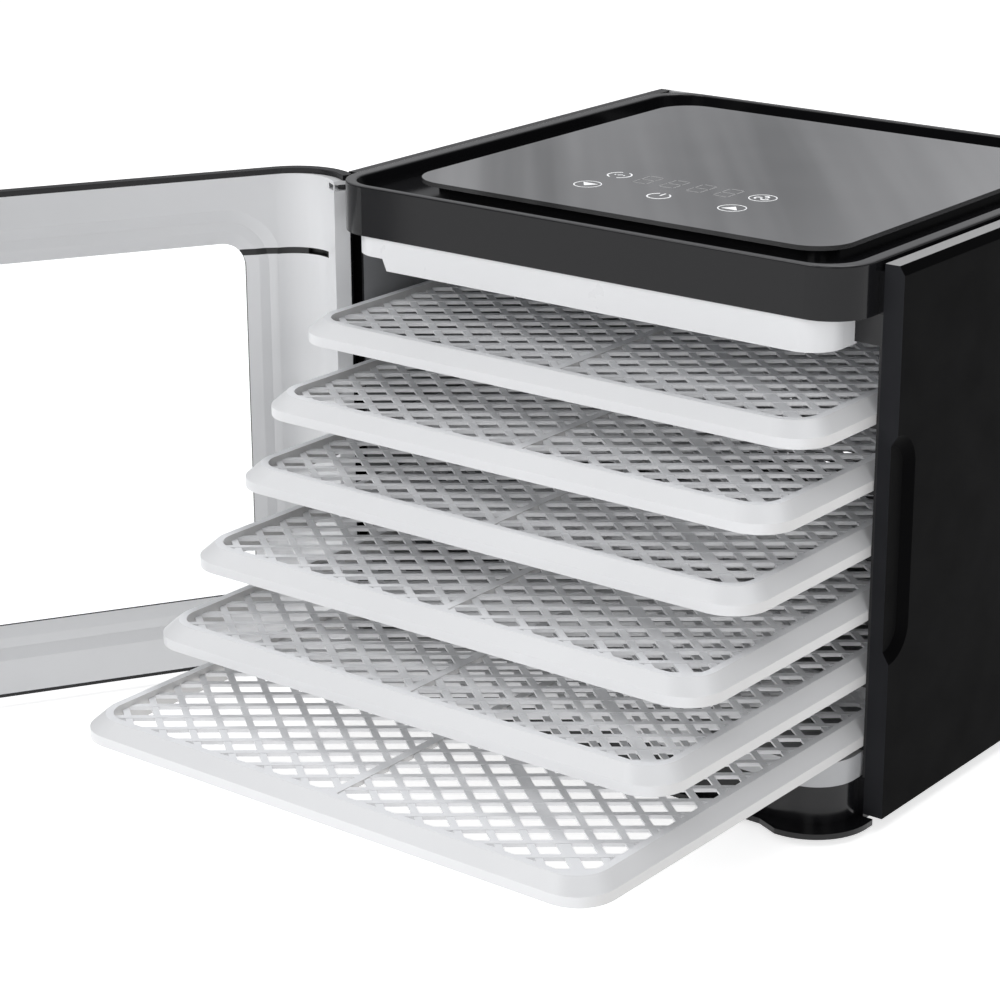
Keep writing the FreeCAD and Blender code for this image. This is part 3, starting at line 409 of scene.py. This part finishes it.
class Ink:
    """Flat marks gathered into one thin mesh on the glass."""

    def __init__(self):
        self.points = []
        self.faces = []

    def outline(self, corners):
        """A thin prism over a flat outline given anticlockwise."""
        first = len(self.points)
        count = len(corners)
        self.points += [(x, y, INK_LOW) for x, y in corners]
        self.points += [(x, y, INK_TOP) for x, y in corners]
        self.faces.append([first + count + k for k in range(count)])
        self.faces.append([first + k for k in reversed(range(count))])
        for k in range(count):
            after = (k + 1) % count
            self.faces.append([first + k, first + after, first + count + after, first + count + k])

    def bar(self, start, finish, wide):
        """A straight stroke."""
        run = Vector(finish) - Vector(start)
        side = Vector((-run.y, run.x)).normalized() * wide / 2
        a, b = Vector(start), Vector(finish)
        self.outline([tuple(a - side), tuple(b - side), tuple(b + side), tuple(a + side)])

    def arc(self, middle, radius, wide, begin, end, steps=40):
        """A ring segment as a chain of short bars."""
        places = []
        for k in range(steps + 1):
            bend = math.radians(begin + (end - begin) * k / steps)
            places.append((math.cos(bend), math.sin(bend)))
        for (c0, s0), (c1, s1) in zip(places, places[1:]):
            near, far = radius - wide / 2, radius + wide / 2
            self.outline([
                (middle[0] + near * c0, middle[1] + near * s0),
                (middle[0] + far * c0, middle[1] + far * s0),
                (middle[0] + far * c1, middle[1] + far * s1),
                (middle[0] + near * c1, middle[1] + near * s1),
            ])


def triangle(marks, middle, points_back):
    """A solid arrowhead inside a ring."""
    x, y = middle
    way = 1 if points_back else -1
    corners = [(x - 4.8, y - 2.8 * way), (x + 4.8, y - 2.8 * way), (x, y + 3.4 * way)]
    marks.outline(corners if points_back else corners[::-1])


def power_symbol(marks):
    """An open ring with a short bar in its gap."""
    x, y = POWER_KEY
    marks.arc(POWER_KEY, POWER_RADIUS, SYMBOL_LINE, 118, 422)
    marks.bar((x, y + 1.2), (x, y + 6.4), DOT_LINE)


def timer_symbol(marks):
    """Two half rings with three dots between them."""
    x, y = TIMER_KEY
    marks.arc(TIMER_KEY, SYMBOL_RADIUS, SYMBOL_LINE, 110, 250)
    marks.arc(TIMER_KEY, SYMBOL_RADIUS, SYMBOL_LINE, -70, 70)
    marks.bar((x - 1.0, y - 0.6), (x + 1.0, y + 1.4), DOT_LINE)
    marks.bar((x - 3.4, y), (x - 2.4, y), DOT_LINE)
    marks.bar((x + 2.4, y), (x + 3.4, y), DOT_LINE)


def fan_symbol(marks):
    """Three curved blades."""
    for turn in (90, 210, 330):
        bend = math.radians(turn)
        hub = (FAN_KEY[0] + BLADE_OFFSET * math.cos(bend),
               FAN_KEY[1] + BLADE_OFFSET * math.sin(bend))
        marks.arc(hub, BLADE_RADIUS, BLADE_LINE, turn - 150, turn + 40, 12)


def seven_segments(marks, left, front):
    """One display digit with every segment drawn."""
    right, back = left + DIGIT_WIDE, front + DIGIT_TALL
    middle = front + DIGIT_TALL / 2
    for level in (front, middle, back):
        marks.bar((left + DIGIT_GAP, level), (right - DIGIT_GAP, level), DIGIT_LINE)
    for side in (left, right):
        marks.bar((side, front + DIGIT_GAP), (side, middle - DIGIT_GAP), DIGIT_LINE)
        marks.bar((side, middle + DIGIT_GAP), (side, back - DIGIT_GAP), DIGIT_LINE)


def control_marks():
    marks = Ink()
    for middle in (DOWN_KEY, UP_KEY, FAN_KEY):
        marks.arc(middle, KEY_RADIUS, KEY_LINE, 0, 360)
    triangle(marks, DOWN_KEY, False)
    triangle(marks, UP_KEY, True)
    power_symbol(marks)
    timer_symbol(marks)
    fan_symbol(marks)
    mesh_piece("control_marks", marks.points, marks.faces, ink_painted_glow)


def control_digits():
    marks = Ink()
    for count in range(DIGITS):
        seven_segments(marks, DIGITS_LEFT + DIGIT_PITCH * count, DIGITS_FRONT)
    mesh_piece("control_digits", marks.points, marks.faces, faint_ink)


control_marks()
control_digits()


# ---- floor, light and camera ----

FLOOR_HALF = 30.0
# the underside of the rubber feet
FLOOR_LEVEL = -0.0035

SKY = 0.85
SKY_STOPS = [(0.35, (0.22, 0.223, 0.232)), (0.65, (0.5, 0.503, 0.515))]

# each light's place, target, width, height and power
LIGHTS = {
    "key": ((-1.2, -2.4, 2.6), (0, -0.2, 0.1), 1.6, 1.6, 37),
    "front": ((1.0, -2.6, 1.3), (0, -0.2, 0.1), 1.2, 1.2, 8),
    "top": ((0.2, 0.6, 2.6), (0, 0, 0.2), 2.4, 1.2, 26),
    "side": ((2.6, -1.2, 1.2), (0, -0.2, 0.15), 1.0, 1.8, 4),
}

CAMERA_PLACE = (0.8357, -1.3015, 0.6295)
CAMERA_YAW, CAMERA_PITCH, CAMERA_ROLL = 0.6657, 0.3322, -0.0048
LENS, SENSOR = 102.34, 36.0


def make_floor():
    mesh = bpy.data.meshes.new("floor")
    signs = ((-1, -1), (1, -1), (1, 1), (-1, 1))
    corners = [(FLOOR_HALF * x, FLOOR_HALF * y, FLOOR_LEVEL) for x, y in signs]
    mesh.from_pydata(corners, [], [(0, 1, 2, 3)])
    floor = bpy.data.objects.new("floor", mesh)
    scene.collection.objects.link(floor)
    mesh.materials.append(moulded("paper", (0.86, 0.86, 0.86), 0.9, grain=60.0, depth=0.0,
                                  vary=0.005, specular=0.0, glow=0.8))


def area_light(name, place, target, wide, tall, power):
    data = bpy.data.lights.new(name, "AREA")
    data.shape = "RECTANGLE"
    data.size = wide
    data.size_y = tall
    data.energy = power
    light = bpy.data.objects.new(name, data)
    light.location = place
    aim = Vector(target) - Vector(place)
    light.rotation_euler = aim.to_track_quat("-Z", "Y").to_euler()
    scene.collection.objects.link(light)


def make_world():
    """A dim studio with soft upright bands of light round the horizon."""
    world = bpy.data.worlds.new("studio")
    world.use_nodes = True
    tree = world.node_tree
    sky = tree.nodes["Background"]
    place = tree.nodes.new("ShaderNodeTexCoord")
    flat = tree.nodes.new("ShaderNodeMapping")
    flat.inputs["Scale"].default_value = (1.0, 1.0, 0.04)
    bands = tree.nodes.new("ShaderNodeTexNoise")
    bands.inputs["Scale"].default_value = 7.0
    bands.inputs["Detail"].default_value = 5.0
    tree.links.new(place.outputs["Generated"], flat.inputs["Vector"])
    tree.links.new(flat.outputs["Vector"], bands.inputs["Vector"])
    tone = ramp(tree, bands.outputs["Fac"], SKY_STOPS)
    tree.links.new(tone, sky.inputs["Color"])
    sky.inputs["Strength"].default_value = SKY
    scene.world = world


def make_camera():
    yaw, pitch, roll = CAMERA_YAW, CAMERA_PITCH, CAMERA_ROLL
    across = Vector((math.cos(yaw), math.sin(yaw), 0))
    back = Vector((math.sin(yaw) * math.cos(pitch), -math.cos(yaw) * math.cos(pitch),
                   math.sin(pitch)))
    above = back.cross(across)
    right = across * math.cos(roll) + above * math.sin(roll)
    top = above * math.cos(roll) - across * math.sin(roll)
    turn = Matrix((right, top, back)).transposed().to_4x4()
    data = bpy.data.cameras.new("camera")
    data.lens = LENS
    data.sensor_width = SENSOR
    data.clip_start = 0.05
    data.clip_end = 100.0
    camera = bpy.data.objects.new("camera", data)
    camera.matrix_world = Matrix.Translation(CAMERA_PLACE) @ turn
    scene.collection.objects.link(camera)
    scene.camera = camera


make_floor()
make_world()
for name, settings in LIGHTS.items():
    area_light(name, *settings)
make_camera()
scene.view_settings.view_transform = "Standard"
